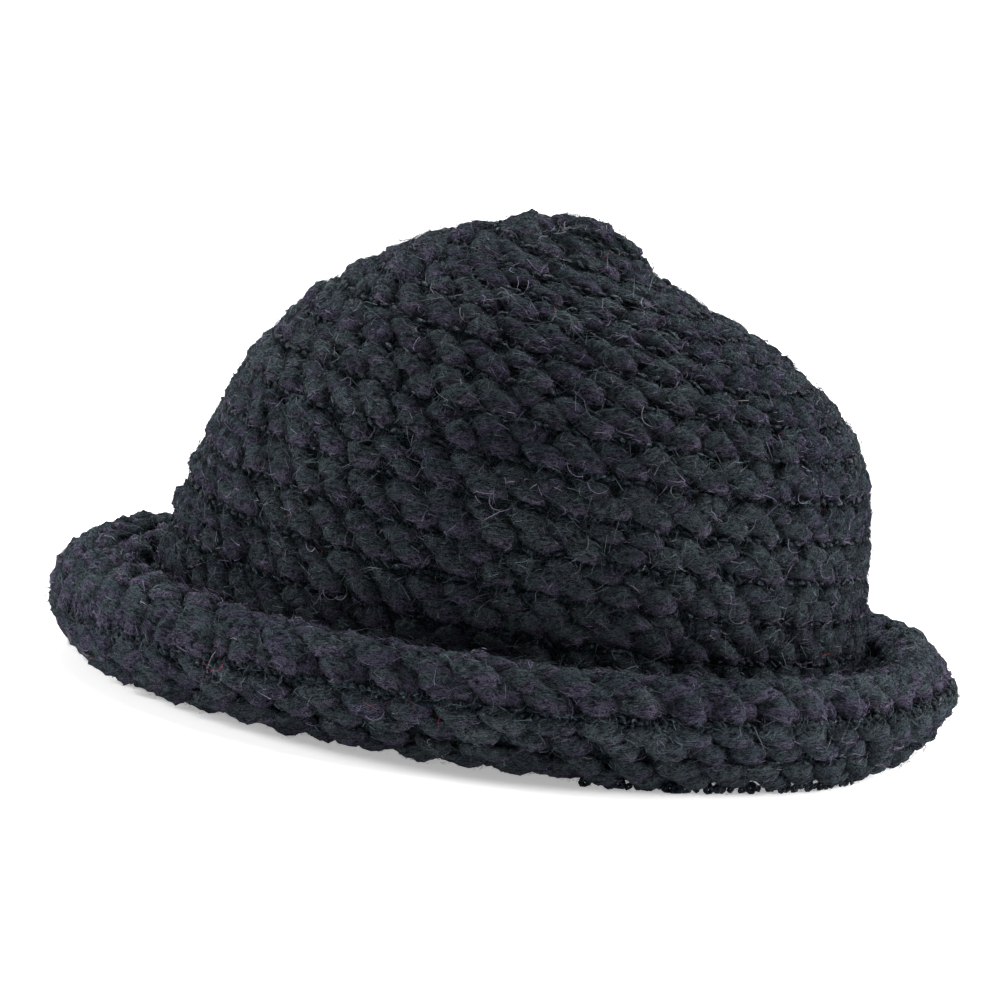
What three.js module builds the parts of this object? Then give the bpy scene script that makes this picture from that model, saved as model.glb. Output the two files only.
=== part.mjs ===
// Rolled-brim hat, crocheted as one spiral of chunky wool. Millimetres, +Z up.
// The origin is on the surface that the hat stands on, under the middle of the head opening.
// +X is the wearer's side where the shoulder of the crown is full, -Y is the front.
import * as THREE from "three";

// Driving dimensions
const HEAD_GIRTH = 554; // inside length round the opening
const OVAL = 0.93; // front-to-back size over side-to-side size
const WALL = 6.5; // thickness of the crocheted fabric
const SEAT_GAP = 0.3; // clearance where the crown meets the brim's first round
const GROOVE = 2; // depth of the groove between two bands of stitches
const SECTORS = 48; // faces round the hat
const ROWS_PER_BAND = 4; // rows of faces across one band of stitches

// The opening, and the flat round that the hat stands on
const OPENING_HALF_WIDTH = HEAD_GIRTH / (2 * Math.PI * Math.sqrt((1 + OVAL ** 2) / 2));
const BASE_HALF_WIDTH = OPENING_HALF_WIDTH + WALL;

// Rounds of the crown, counted in bands from the tip down to the opening.
// x and z place the round's middle, radius is its half width, and tilt in degrees lowers its +X side.
const CROWN_ROUNDS = [
  { band: 0, x: 7.0, z: 134.6, radius: 0, tilt: 9.0 },
  { band: 1, x: 6.5, z: 132.4, radius: 11.3, tilt: 9.4 },
  { band: 1.5, x: 5.6, z: 130.8, radius: 17.2, tilt: 9.2 },
  { band: 2, x: 5.6, z: 127.9, radius: 21.2, tilt: 10.7 },
  { band: 2.5, x: 4.6, z: 125.4, radius: 26.2, tilt: 10.4 },
  { band: 3, x: 4.2, z: 123.2, radius: 31.9, tilt: 9.4 },
  { band: 4, x: 4.8, z: 118.4, radius: 42.3, tilt: 7.9 },
  { band: 5, x: 6.0, z: 113.5, radius: 52.0, tilt: 6.3 },
  { band: 6, x: 6.0, z: 108.0, radius: 60.9, tilt: 4.7 },
  { band: 7, x: 6.1, z: 100.5, radius: 70.5, tilt: 3.6 },
  { band: 8, x: 6.9, z: 92.4, radius: 77.8, tilt: 2.9 },
  { band: 9, x: 6.2, z: 83.2, radius: 83.9, tilt: 2.6 },
  { band: 10, x: 5.5, z: 72.3, radius: 87.8, tilt: 2.5 },
  { band: 12, x: 3.5, z: 51.0, radius: 92.6, tilt: 2.0 },
  { band: 14, x: 1.4, z: 28.6, radius: 96.0, tilt: 1.0 },
  { band: 16, x: 0, z: WALL + SEAT_GAP, radius: BASE_HALF_WIDTH, tilt: 0 },
];
const CROWN_BANDS = 16;

// Grooves of the brim, from the flat underside out, up, over the roll and down to the tucked edge.
// out is measured from the edge of the flat round; bulge is how far the next band bows out.
const BRIM_GROOVES = [
  { out: 0, z: 0, bulge: 1.8 },
  { out: 10.8, z: 3.2, bulge: 2.0 },
  { out: 19.0, z: 9.6, bulge: 2.6 },
  { out: 23.6, z: 19.4, bulge: 2.8 },
  { out: 17.0, z: 29.6, bulge: 2.4 },
  { out: 9.0, z: 28.2, bulge: 1.6 },
  { out: 8.6, z: 20.0, bulge: 0 },
];

// Inside of the brim, from under the tucked edge down the gutter to the first round
const GUTTER = [
  { out: 12.6, z: 17.4 },
  { out: 12.0, z: 13.0 },
  { out: 6.8, z: 9.2 },
  { out: 1.0, z: WALL + 0.6 },
  { out: 0, z: WALL },
];

// Point outside (or, with a minus, inside) the edge of the flat round that the hat stands on
function openingPoint(out, z, angle) {
  return new THREE.Vector3(
    (BASE_HALF_WIDTH + out) * Math.cos(angle),
    (OVAL * BASE_HALF_WIDTH + out) * Math.sin(angle),
    z,
  );
}

// Value of one column of the crown's table at any band, on a smooth curve through its rows
function crownColumn(column, band) {
  const last = CROWN_ROUNDS.length - 1;
  let i = 0;
  while (i < last - 1 && CROWN_ROUNDS[i + 1].band < band) i += 1;
  const [a, b] = [CROWN_ROUNDS[i], CROWN_ROUNDS[i + 1]];
  const slope = (row) => {
    const before = CROWN_ROUNDS[Math.max(row - 1, 0)];
    const after = CROWN_ROUNDS[Math.min(row + 1, last)];
    return (after[column] - before[column]) / (after.band - before.band);
  };
  const span = b.band - a.band;
  const t = (band - a.band) / span;
  const [t2, t3] = [t * t, t * t * t];
  return (2 * t3 - 3 * t2 + 1) * a[column] + (t3 - 2 * t2 + t) * span * slope(i)
    + (3 * t2 - 2 * t3) * b[column] + (t3 - t2) * span * slope(i + 1);
}

// Point of the crown's outer envelope at a band and an angle round the hat
function crownPoint(band, angle) {
  const radius = crownColumn("radius", band);
  const tilt = THREE.MathUtils.degToRad(crownColumn("tilt", band));
  const across = radius * Math.cos(angle);
  return new THREE.Vector3(
    crownColumn("x", band) + across * Math.cos(tilt),
    OVAL * radius * Math.sin(angle),
    crownColumn("z", band) - across * Math.sin(tilt),
  );
}

// Outward direction of the crown's envelope
function crownNormal(band, angle) {
  const step = 0.05;
  const at = Math.max(band, 4 * step);
  const down = crownPoint(at + step, angle).sub(crownPoint(at - step, angle));
  const round = crownPoint(at, angle + step).sub(crownPoint(at, angle - step));
  return down.cross(round).normalize();
}

// How far the outer face lies under its envelope: bands bow out between their grooves
function crownGroove(band) {
  const bow = Math.sqrt(Math.abs(Math.sin(Math.PI * band)));
  return GROOVE * Math.min(band, 1) * (1 - bow);
}

// One row of points round the hat
function row(pointAt) {
  return Array.from({ length: SECTORS }, (_, k) => pointAt((2 * Math.PI * k) / SECTORS));
}

// Skins a list of rows as one closed surface; a row of one point closes the surface at a pole
function skin(rows, ringsClose) {
  const starts = [];
  const positions = [];
  for (const points of rows) {
    starts.push(positions.length / 3);
    for (const point of points) positions.push(point.x, point.y, point.z);
  }
  const index = [];
  const pairs = ringsClose ? rows.length : rows.length - 1;
  for (let i = 0; i < pairs; i += 1) {
    const j = (i + 1) % rows.length;
    const vertex = (line, k) => starts[line] + (rows[line].length === 1 ? 0 : k % SECTORS);
    for (let k = 0; k < SECTORS; k += 1) {
      if (rows[j].length > 1) index.push(vertex(i, k), vertex(j, k), vertex(j, k + 1));
      if (rows[i].length > 1) index.push(vertex(i, k), vertex(j, k + 1), vertex(i, k + 1));
    }
  }
  const geometry = new THREE.BufferGeometry();
  geometry.setAttribute("position", new THREE.Float32BufferAttribute(positions, 3));
  geometry.setIndex(index);
  geometry.computeVertexNormals();
  return geometry;
}

// Hollow crown: ribbed outside from the tip to the opening, then the plain inside back up
function crownGeometry() {
  const rows = [[crownPoint(0, 0)]];
  for (let i = 1; i < CROWN_BANDS * ROWS_PER_BAND; i += 1) {
    const band = i / ROWS_PER_BAND;
    rows.push(row((angle) => (
      crownPoint(band, angle).addScaledVector(crownNormal(band, angle), -crownGroove(band))
    )));
  }
  rows.push(row((angle) => crownPoint(CROWN_BANDS, angle)));
  rows.push(row((angle) => openingPoint(-WALL, WALL + SEAT_GAP, angle)));
  for (let band = CROWN_BANDS - 1; band >= 1; band -= 1) {
    rows.push(row((angle) => (
      crownPoint(band, angle).addScaledVector(crownNormal(band, angle), -WALL)
    )));
  }
  rows.push([crownPoint(0, 0).addScaledVector(crownNormal(0, 0), -WALL)]);
  return skin(rows, false);
}

// Section of the brim as distances outside the flat round's edge and heights
function brimSection() {
  const section = [{ out: -WALL, z: 0 }, { out: -WALL / 2, z: 0 }];
  for (let i = 0; i + 1 < BRIM_GROOVES.length; i += 1) {
    const [a, b] = [BRIM_GROOVES[i], BRIM_GROOVES[i + 1]];
    const chord = Math.hypot(b.out - a.out, b.z - a.z);
    for (let k = 0; k < ROWS_PER_BAND; k += 1) {
      const t = k / ROWS_PER_BAND;
      const bow = a.bulge * Math.sqrt(Math.sin(Math.PI * t));
      section.push({
        out: a.out + (b.out - a.out) * t + (bow * (b.z - a.z)) / chord,
        z: Math.max(a.z + (b.z - a.z) * t - (bow * (b.out - a.out)) / chord, 0),
      });
    }
  }
  section.push(BRIM_GROOVES.at(-1), ...GUTTER, { out: -WALL, z: WALL });
  return section;
}

// Brim: its section carried round the opening, traced inwards so that the faces point out
function brimGeometry() {
  const section = brimSection().reverse();
  return skin(section.map(({ out, z }) => row((angle) => openingPoint(out, z, angle))), true);
}

// Dark heathered wool
function wool(colour) {
  return new THREE.MeshStandardMaterial({ color: colour, roughness: 0.95, metalness: 0 });
}

function namedMesh(name, geometry, material) {
  const mesh = new THREE.Mesh(geometry, material);
  mesh.name = name;
  return mesh;
}

const hat = new THREE.Group();
hat.name = "rolled_brim_hat";
hat.add(namedMesh("crown", crownGeometry(), wool(0x22242b)));
hat.add(namedMesh("rolled_brim", brimGeometry(), wool(0x262930)));

export default hat;
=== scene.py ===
import math
from collections import namedtuple

import bpy
import bmesh
import numpy as np
from mathutils import Matrix, Vector


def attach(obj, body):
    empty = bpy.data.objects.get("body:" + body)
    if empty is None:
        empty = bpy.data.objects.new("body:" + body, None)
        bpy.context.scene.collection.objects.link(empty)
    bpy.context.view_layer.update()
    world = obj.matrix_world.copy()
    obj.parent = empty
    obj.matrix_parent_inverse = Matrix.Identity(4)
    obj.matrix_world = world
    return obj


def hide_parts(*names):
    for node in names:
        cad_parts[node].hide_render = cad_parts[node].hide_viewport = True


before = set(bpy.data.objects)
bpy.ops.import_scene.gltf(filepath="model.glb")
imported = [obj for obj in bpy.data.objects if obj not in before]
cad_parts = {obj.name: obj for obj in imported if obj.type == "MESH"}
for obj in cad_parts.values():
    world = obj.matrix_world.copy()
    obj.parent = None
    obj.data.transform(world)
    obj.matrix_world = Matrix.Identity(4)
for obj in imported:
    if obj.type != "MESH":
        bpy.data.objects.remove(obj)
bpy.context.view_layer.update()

bl_info = {
    "name": "Crocheted rolled-brim hat",
    "version": (1, 0, 0),
    "blender": (4, 5, 0),
    "location": "View3D > Sidebar > Hat",
    "description": "Works the yarn, thread and fuzz of a crocheted hat over its packed model",
    "category": "Add Mesh",
}

MM = 0.001

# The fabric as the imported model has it, in millimetres
HEAD_GIRTH = 554.0
OVAL = 0.93
WALL = 6.5
SEAT_GAP = 0.3
OPENING_HALF_WIDTH = HEAD_GIRTH / (2 * math.pi * math.sqrt((1 + OVAL**2) / 2))
BASE_HALF_WIDTH = OPENING_HALF_WIDTH + WALL

# Rounds of the crown, counted in bands from the tip: band, middle x, middle z, radius, tilt in degrees
CROWN_ROUNDS = np.array([
    (0, 7.0, 134.6, 0, 9.0),
    (1, 6.5, 132.4, 11.3, 9.4),
    (1.5, 5.6, 130.8, 17.2, 9.2),
    (2, 5.6, 127.9, 21.2, 10.7),
    (2.5, 4.6, 125.4, 26.2, 10.4),
    (3, 4.2, 123.2, 31.9, 9.4),
    (4, 4.8, 118.4, 42.3, 7.9),
    (5, 6.0, 113.5, 52.0, 6.3),
    (6, 6.0, 108.0, 60.9, 4.7),
    (7, 6.1, 100.5, 70.5, 3.6),
    (8, 6.9, 92.4, 77.8, 2.9),
    (9, 6.2, 83.2, 83.9, 2.6),
    (10, 5.5, 72.3, 87.8, 2.5),
    (12, 3.5, 51.0, 92.6, 2.0),
    (14, 1.4, 28.6, 96.0, 1.0),
    (16, 0, WALL + SEAT_GAP, BASE_HALF_WIDTH, 0),
])
CROWN_BANDS = 16

# Grooves of the brim from the opening's inner edge, out, up, over the roll and down to the tucked edge:
# band, distance outside the flat round's edge, height
BRIM_GROOVES = np.array([
    (-0.7, -6.6, 1.2),
    (0, 0, 0.6),
    (1, 10.8, 3.2),
    (2, 19.0, 9.6),
    (3, 23.6, 19.4),
    (4, 17.0, 29.6),
    (5, 9.0, 28.2),
    (6, 8.6, 20.0),
])
# Inner side of the roll, from the crown's foot up to the tucked edge, in the same columns
GUTTER_BANDS = np.array([
    (0, 0.6, 9.0),
    (1, 6.6, 12.6),
    (2, 10.8, 17.6),
    (3, 11.6, 23.4),
])
BRIM_PROUD = 1.5  # how far the brim's yarn stands outside its grooves

# Where the brim departs from its section: degrees round the hat, band, reach in bands, mm outwards, mm up
BRIM_SWELLS = (
    (0, 3.0, 0.7, 1.8, 0.0),
    (180, 3.2, 0.8, -0.7, 0.0),
    (180, 2.2, 1.3, 0.0, -2.0),
    (295, 1.1, 0.8, 0.0, -1.3),
    (0, 3.4, 1.0, 0.0, 1.2),
)
BRIM_SLIMMER = 1.2  # how much slimmer the brim is at its right
TUCK_FROM, TUCK_IN = 4.0, 4.5  # band from which the left side is tucked in, and how far
GUTTER_RISE = (12.0, 0.5, 1.0)  # how much higher the gutter lies at the left, its band and its reach

# Where the crown's yarn lies closer at its left: mm, band, reach in bands
CROWN_HOLLOWS = ((1.0, 5.0, 2.6), (1.0, 1.3, 0.4))

# Firm middle of the brim, under the yarn: distance outside the flat round's edge, height
BRIM_CORE = [
    (-5.2, 1.9), (1.0, 2.0), (10.2, 5.0), (17.0, 10.6), (21.4, 19.4), (16.2, 27.4),
    (10.8, 26.4), (10.4, 20.8), (12.4, 17.8), (11.6, 14.6), (6.8, 10.4), (0.6, 7.6), (-5.2, 6.3),
]


# Properties that a user can change

def size_of(name, description, metres):
    return bpy.props.FloatProperty(
        name=name, description=description, default=metres, unit="LENGTH")


def turn_of(name, description, degrees):
    return bpy.props.FloatProperty(
        name=name, description=description, default=math.radians(degrees), subtype="ANGLE")


def count_of(name, description, count):
    return bpy.props.IntProperty(name=name, description=description, default=count)


def colour_of(name, description, red_green_blue):
    return bpy.props.FloatVectorProperty(
        name=name, description=description, default=red_green_blue, subtype="COLOR")


class HatSizes(bpy.types.PropertyGroup):
    """Sizes of the yarn and the picture"""

    stitch_width: size_of("Stitch width", "Distance between two stitches round the hat", 11.2 * MM)
    core_depth: size_of("Core depth", "Depth of the fabric's firm middle under its outside", 3.4 * MM)
    core_wall: size_of("Core wall", "Thickness of the fabric's firm middle", 1.8 * MM)
    crown_fibres: count_of("Crown fibres", "Loose fibres on each of the crown's two rows", 64000)
    brim_fibres: count_of("Brim fibres", "Loose fibres on the brim", 56000)
    chain_fibres: count_of("Chain fibres", "Loose fibres on the brim's chain of thread", 5000)
    fibre_length: size_of("Fibre length", "Usual length of a loose fibre", 3.0 * MM)
    fibre_width: size_of("Fibre width", "Width of a loose fibre at its root", 0.14 * MM)
    seed: count_of("Hand", "Start of the random draws for uneven hand work", 7)
    camera_distance: size_of("Camera distance", "From the hat's middle to the camera", 2.0)
    camera_rise: turn_of("Camera rise", "Height of the view over the hat", 8.7)
    camera_roll: turn_of("Camera roll", "Turn of the picture, which lowers the hat's right side", 7.9)


class HatColours(bpy.types.PropertyGroup):
    """Colours of the yarn, the thread and the room"""

    green_ply: colour_of("Green ply", "The yarn's green-black ply", (0.023, 0.031, 0.034))
    purple_ply: colour_of("Purple ply", "The yarn's purple-black ply", (0.043, 0.036, 0.056))
    shadow_wool: colour_of("Shadow wool", "Wool deep between the fibres", (0.0006, 0.0012, 0.0030))
    thread: colour_of("Thread", "The thin blue-black thread", (0.013, 0.023, 0.032))
    loose_fibre: colour_of("Loose fibre", "Fibres that stand out of the yarn", (0.088, 0.098, 0.116))
    pale_fibre: colour_of("Pale fibre", "The palest stray hairs", (0.17, 0.17, 0.18))
    red_fibre: colour_of("Red fibre", "The few red hairs", (0.20, 0.035, 0.055))
    floor: colour_of("Floor", "Paper that the hat stands on", (0.93, 0.93, 0.93))


def hat_sizes():
    """The sizes that the scene holds"""
    return bpy.context.scene.hat_sizes


def hat_colours():
    """The colours that the scene holds"""
    return bpy.context.scene.hat_colours


# The fabric's surface: the crown's rounds and the brim's section as functions of band and angle

def smooth_rows(rows, band):
    """Every column of a table at the given bands, on a smooth curve through its rows"""
    keys = rows[:, 0]
    last = len(keys) - 1
    before = np.maximum(np.arange(last + 1) - 1, 0)
    after = np.minimum(np.arange(last + 1) + 1, last)
    slope = (rows[after] - rows[before]) / (keys[after] - keys[before])[:, None]
    i = np.clip(np.searchsorted(keys, band) - 1, 0, last - 1)
    span = (keys[i + 1] - keys[i])[:, None]
    t = (np.asarray(band) - keys[i])[:, None] / span
    t2, t3 = t * t, t * t * t
    return ((2 * t3 - 3 * t2 + 1) * rows[i] + (t3 - 2 * t2 + t) * span * slope[i]
            + (3 * t2 - 2 * t3) * rows[i + 1] + (t3 - t2) * span * slope[i + 1])


def crown_point(band, angle):
    """Points of the crown's outside, in millimetres"""
    _, x, z, radius, tilt = smooth_rows(CROWN_ROUNDS, band).T
    tilt = np.radians(tilt)
    across = radius * np.cos(angle)
    return np.stack([
        x + across * np.cos(tilt), OVAL * radius * np.sin(angle), z - across * np.sin(tilt)], axis=1)


def hump(band, middle, width):
    """1 at a band, falling to 0 on both sides of it"""
    return np.exp(-((np.asarray(band) - middle) / width) ** 2)


def facing(angle, degrees):
    """1 where the hat faces a way, given in degrees round it, falling to 0 a quarter turn from there"""
    return np.clip(np.cos(angle - math.radians(degrees)), 0, 1) ** 2


def left_hollow(band, angle):
    """How much closer the crown's yarn lies at its upper left, in millimetres"""
    return facing(angle, 180) * sum(
        depth * hump(band, middle, reach) for depth, middle, reach in CROWN_HOLLOWS)


def proud_path():
    """The brim's section moved outwards from the grooves to the yarn's backs"""
    path = BRIM_GROOVES.copy()
    run = np.gradient(path[:, 1:], axis=0)
    run /= np.linalg.norm(run, axis=1)[:, None]
    path[:, 1] += BRIM_PROUD * run[:, 1]
    path[:, 2] -= BRIM_PROUD * run[:, 0]
    return path


BRIM_PATH = proud_path()


def oval_point(out, z, angle):
    """Points at a distance outside the flat round's edge and at a height"""
    return np.stack([
        (BASE_HALF_WIDTH + out) * np.cos(angle),
        (OVAL * BASE_HALF_WIDTH + out) * np.sin(angle), z], axis=1)


def brim_point(band, angle):
    """Points of the brim's outside, in millimetres; it is slimmer at the right and hangs at the left"""
    _, out, z = smooth_rows(BRIM_PATH, band).T
    out = out - BRIM_SLIMMER * facing(angle, 0)
    out = out - TUCK_IN * facing(angle, 180) * np.clip(np.asarray(band) - TUCK_FROM, 0, 1)
    for degrees, middle, reach, outwards, up in BRIM_SWELLS:
        swell = facing(angle, degrees) * hump(band, middle, reach)
        out = out + outwards * swell
        z = z + up * swell
    return oval_point(out, z, angle)


def gutter_point(band, angle):
    """Points of the inner side of the roll, in millimetres"""
    _, out, z = smooth_rows(GUTTER_BANDS, band).T
    rise, middle, reach = GUTTER_RISE
    return oval_point(out, z + rise * facing(angle, 180) * hump(band, middle, reach), angle)


def unit(vectors):
    """The vectors at a length of 1"""
    return vectors / np.maximum(np.linalg.norm(vectors, axis=1), 1e-9)[:, None]


FRAME_STEP = 0.04  # bands and radians over which a direction in the fabric is taken
NEAREST_TIP = 0.25  # band nearest to the tip at which the crown still has directions


def fabric_frame(point_at, band, angle, downwards):
    """Places on the fabric with their directions along the round, down the picture and outwards"""
    safe = np.maximum(band, NEAREST_TIP) if point_at is crown_point else band
    along = unit(point_at(safe, angle + FRAME_STEP) - point_at(safe, angle - FRAME_STEP))
    down = unit(point_at(safe + FRAME_STEP, angle) - point_at(safe - FRAME_STEP, angle)) * downwards
    out = unit(np.cross(down, along))
    return point_at(band, angle), along, unit(np.cross(along, out)), out


def spiral(point_at, first, last, start_turn, pitch):
    """Bands and angles of the stitches along one spiral; the band grows by one in each turn"""
    bands, angles = [], []
    band = first
    step, least_radius = 0.01, 4.0
    while band < last:
        angle = 2 * math.pi * (band - start_turn)
        here, ahead = (point_at(np.array([band]), np.array([at])) for at in (angle, angle + step))
        radius = max(float(np.linalg.norm(ahead - here)) / step, least_radius)
        bands.append(band)
        angles.append(angle)
        band += pitch / radius / (2 * math.pi)
    return np.array(bands), np.array(angles)


# Mesh building

def start_fresh():
    """Leaves edit mode and deselects everything"""
    if bpy.context.object and bpy.context.object.mode != "OBJECT":
        bpy.ops.object.mode_set(mode="OBJECT")
    bpy.ops.object.select_all(action="DESELECT")


def pick(obj, wanted):
    """Selects, in edit mode, the points for which wanted(place) holds, and nothing else"""
    mesh = bmesh.from_edit_mesh(obj.data)
    for part in (*mesh.faces, *mesh.edges):
        part.select = False
    for point in mesh.verts:
        point.select = bool(wanted(point.co))
    mesh.select_flush_mode()
    bmesh.update_edit_mesh(obj.data)


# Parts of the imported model: node, slot
CROWN = ("crown", "crown_wool")
BRIM = ("rolled_brim", "brim_wool")


def finish_piece(obj, name, part, material):
    """Names a piece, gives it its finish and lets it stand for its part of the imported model"""
    node, slot = part
    obj.name = name
    obj.data.name = name
    obj.data.materials.clear()
    obj.data.materials.append(material)
    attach(obj, "root")
    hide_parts(node)
    return obj


def joined_mesh(name, points, triangles, values):
    """One mesh from arrays in millimetres, with named values on its points"""
    mesh = bpy.data.meshes.new(name)
    mesh.vertices.add(len(points))
    mesh.vertices.foreach_set("co", (points * MM).astype(np.float32).ravel())
    mesh.loops.add(3 * len(triangles))
    mesh.loops.foreach_set("vertex_index", triangles.astype(np.int32).ravel())
    mesh.polygons.add(len(triangles))
    mesh.polygons.foreach_set("loop_start", np.arange(0, 3 * len(triangles), 3, dtype=np.int32))
    mesh.update(calc_edges=True)
    for key, value in values.items():
        kind = "FLOAT_VECTOR" if value.ndim == 2 else "FLOAT"
        layer = mesh.attributes.new(key, kind, "POINT")
        layer.data.foreach_set("vector" if value.ndim == 2 else "value", value.astype(np.float32).ravel())
    mesh.shade_smooth()
    obj = bpy.data.objects.new(name, mesh)
    bpy.context.scene.collection.objects.link(obj)
    return obj


def mark_yarn(obj):
    """Keeps each point's place in the undeformed yarn, for the colours"""
    yarn = obj.data.attributes.new("yarn", "FLOAT_VECTOR", "POINT")
    yarn.data.foreach_set("vector", np.array([v.co for v in obj.data.vertices], dtype=np.float32).ravel())


def template_arrays(obj):
    """Points, triangles and yarn places of a modelled template, which is then removed"""
    mesh = obj.data
    mesh.calc_loop_triangles()
    points = np.array([v.co for v in mesh.vertices])
    triangles = np.array([t.vertices for t in mesh.loop_triangles])
    yarn = np.array([d.vector for d in mesh.attributes["yarn"].data])
    bpy.data.objects.remove(obj)
    return points, triangles, yarn


NEAR_ZERO = 1e-6  # least divisor
ROUNDING = 1e-4  # by which two equal measures may differ
END_DROOP = 0.55  # how far the two ends of a stitch's yarn dip into the fabric


def model_puff(around, rings, waist=1.0, twist=0.0, arch=0.0, fullness=0.4):
    """One stitch's yarn, 2 long and 2 wide: a sphere drawn out, pinched between its plies and twisted"""
    start_fresh()
    bpy.ops.mesh.primitive_uv_sphere_add(
        segments=around, ring_count=rings, radius=1.0, rotation=(0, math.pi / 2, 0))
    obj = bpy.context.object
    bpy.ops.object.transform_apply(location=True, rotation=True, scale=True)
    mark_yarn(obj)
    bpy.ops.object.mode_set(mode="EDIT")
    for low, high, pinch in ((0.0, 0.30, waist), (0.30, 0.62, (1 + waist) / 2)):
        pick(obj, lambda p: low < abs(p.y) / max(math.hypot(p.y, p.z), NEAR_ZERO) + ROUNDING <= high)
        bpy.ops.transform.resize(value=(1, 1, pinch), center_override=(0, 0, 0))
    for ring in range(1, rings):
        place = math.cos(math.pi * ring / rings)
        spot = (place, 0, 0)
        pick(obj, lambda p: abs(p.x - place) < 1e-3)
        swell = (1 - place**4) ** 0.5 / max(math.sqrt(1 - place**2), NEAR_ZERO)
        swell = 1 + (min(swell, 1.6) - 1) * fullness
        bpy.ops.transform.resize(value=(1, swell, swell), center_override=spot)
        bpy.ops.transform.rotate(value=twist * place / 2, orient_axis="X", center_override=spot)
        bpy.ops.transform.translate(value=(0, -arch * place**2, -END_DROOP * abs(place) ** 3))
    pick(obj, lambda p: abs(abs(p.x) - 1) < 1e-3)
    bpy.ops.transform.translate(value=(0, -arch, -END_DROOP))
    bpy.ops.object.mode_set(mode="OBJECT")
    return template_arrays(obj)


YARN_STEP = 32.0  # mm between the yarn places of two stitches, so that no two look alike
YARN_ROW = 100  # stitches whose yarn places lie in one line
LUMP_WAVES = 5  # waves that together make one copy of the yarn uneven
LUMP_PITCH = 1.9  # usual radians of a wave over half a stitch
LUMP_SIZE = 0.21  # usual share by which the yarn swells or thins
LUMP_DRAWS = 17  # added to a row's first number for its draws


def lumps(points, count, first):
    """How much fuller or thinner each copy of a template is at each of its points"""
    draws = np.random.default_rng(first + LUMP_DRAWS)
    waves = draws.normal(0, LUMP_PITCH, (3, LUMP_WAVES))
    turns = draws.uniform(0, 2 * math.pi, (count, LUMP_WAVES))
    fields = np.sin(turns[:, None, :] + (points @ waves)[None])
    return 1 + LUMP_SIZE * fields.mean(axis=2) * math.sqrt(LUMP_WAVES)


def lay_copies(template, frames, size, tilt, lift, shift, index):
    """Lays a copy of a template at each place: size as length, width and height, tilt in the fabric"""
    points, triangles, yarn = template
    place, along, down, out = frames
    count, many = len(place), len(points)
    fuller = lumps(points, count, int(index[0]))
    x = points[None, :, 0] * size[:, 0:1] / 2
    up = points[None, :, 1] * size[:, 1:2] / 2 * fuller
    high = points[None, :, 2] * size[:, 2:3] / 2 * fuller
    turn_cos, turn_sin = np.cos(tilt)[:, None], np.sin(tilt)[:, None]
    right = x * turn_cos + up * turn_sin + shift[:, 0:1]
    low = x * turn_sin - up * turn_cos + shift[:, 1:2]
    spots = (place[:, None] + along[:, None] * right[..., None] + down[:, None] * low[..., None]
             + out[:, None] * (high + lift[:, None])[..., None])
    faces = triangles[None] + (np.arange(count) * many)[:, None, None]
    strand = np.repeat(yarn[None], count, axis=0) * (size[:, None, :] / 2)
    strand[..., 0] += YARN_STEP * (index % YARN_ROW)[:, None]
    strand[..., 2] += YARN_STEP * (index // YARN_ROW)[:, None]
    return {"points": spots.reshape(-1, 3), "faces": faces.reshape(-1, 3), "yarn": strand.reshape(-1, 3),
            "fabric_out": np.repeat(out, many, axis=0), "fabric_along": np.repeat(along, many, axis=0)}


FIBRE_SIDE = np.array([0.31, 0.52, 0.79])  # direction from which the fibres' width is worked out


def strand_mesh(name, paths, widths, roll, values):
    """Fine flat fibres through rows of points, each turned about its length and tapering to a point"""
    count, stations, _ = paths.shape
    run = np.gradient(paths, axis=1)
    run /= np.maximum(np.linalg.norm(run, axis=2), 1e-9)[..., None]
    side = np.cross(run, FIBRE_SIDE)
    side /= np.maximum(np.linalg.norm(side, axis=2), 1e-9)[..., None]
    side = side * np.cos(roll)[:, None, None] + np.cross(run, side) * np.sin(roll)[:, None, None]
    rows = []
    for station in range(stations - 1):
        half = widths[:, None] / 2 * (1 - 0.5 * station / (stations - 1))
        rows += [paths[:, station] - half * side[:, station], paths[:, station] + half * side[:, station]]
    points = np.stack(rows + [paths[:, -1]], axis=1)
    faces = []
    for a in range(0, 2 * (stations - 2), 2):
        faces += [(a, a + 1, a + 3), (a, a + 3, a + 2)]
    many = points.shape[1]
    faces.append((many - 3, many - 2, many - 1))
    triangles = np.array(faces)[None] + (np.arange(count) * many)[:, None, None]
    return joined_mesh(name, points.reshape(-1, 3), triangles.reshape(-1, 3),
                       {key: np.repeat(value, many, axis=0) for key, value in values.items()})


def work_rounds(obj, rounds):
    """Extrudes a ring of edges from round to round: middle, half widths and tilt of each"""
    middle, wide, deep, tilt = rounds[0]
    for next_middle, next_wide, next_deep, next_tilt in rounds[1:]:
        bpy.ops.mesh.extrude_region_move()
        bpy.ops.transform.rotate(value=tilt, orient_axis="Y", center_override=middle)
        bpy.ops.transform.resize(
            value=(next_wide / wide, next_deep / deep, 1), center_override=middle)
        bpy.ops.transform.rotate(value=-next_tilt, orient_axis="Y", center_override=middle)
        bpy.ops.transform.translate(value=Vector(next_middle) - Vector(middle))
        middle, wide, deep, tilt = next_middle, next_wide, next_deep, next_tilt


def first_round(middle, wide, deep, vertices):
    """Adds the ring of edges that a fabric starts from, all selected in edit mode"""
    start_fresh()
    bpy.ops.mesh.primitive_circle_add(vertices=vertices, radius=1.0, location=middle)
    obj = bpy.context.object
    obj.scale = (wide, deep, 1)
    bpy.ops.object.transform_apply(location=True, rotation=True, scale=True)
    bpy.ops.object.mode_set(mode="EDIT")
    bpy.ops.mesh.select_all(action="SELECT")
    return obj


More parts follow.
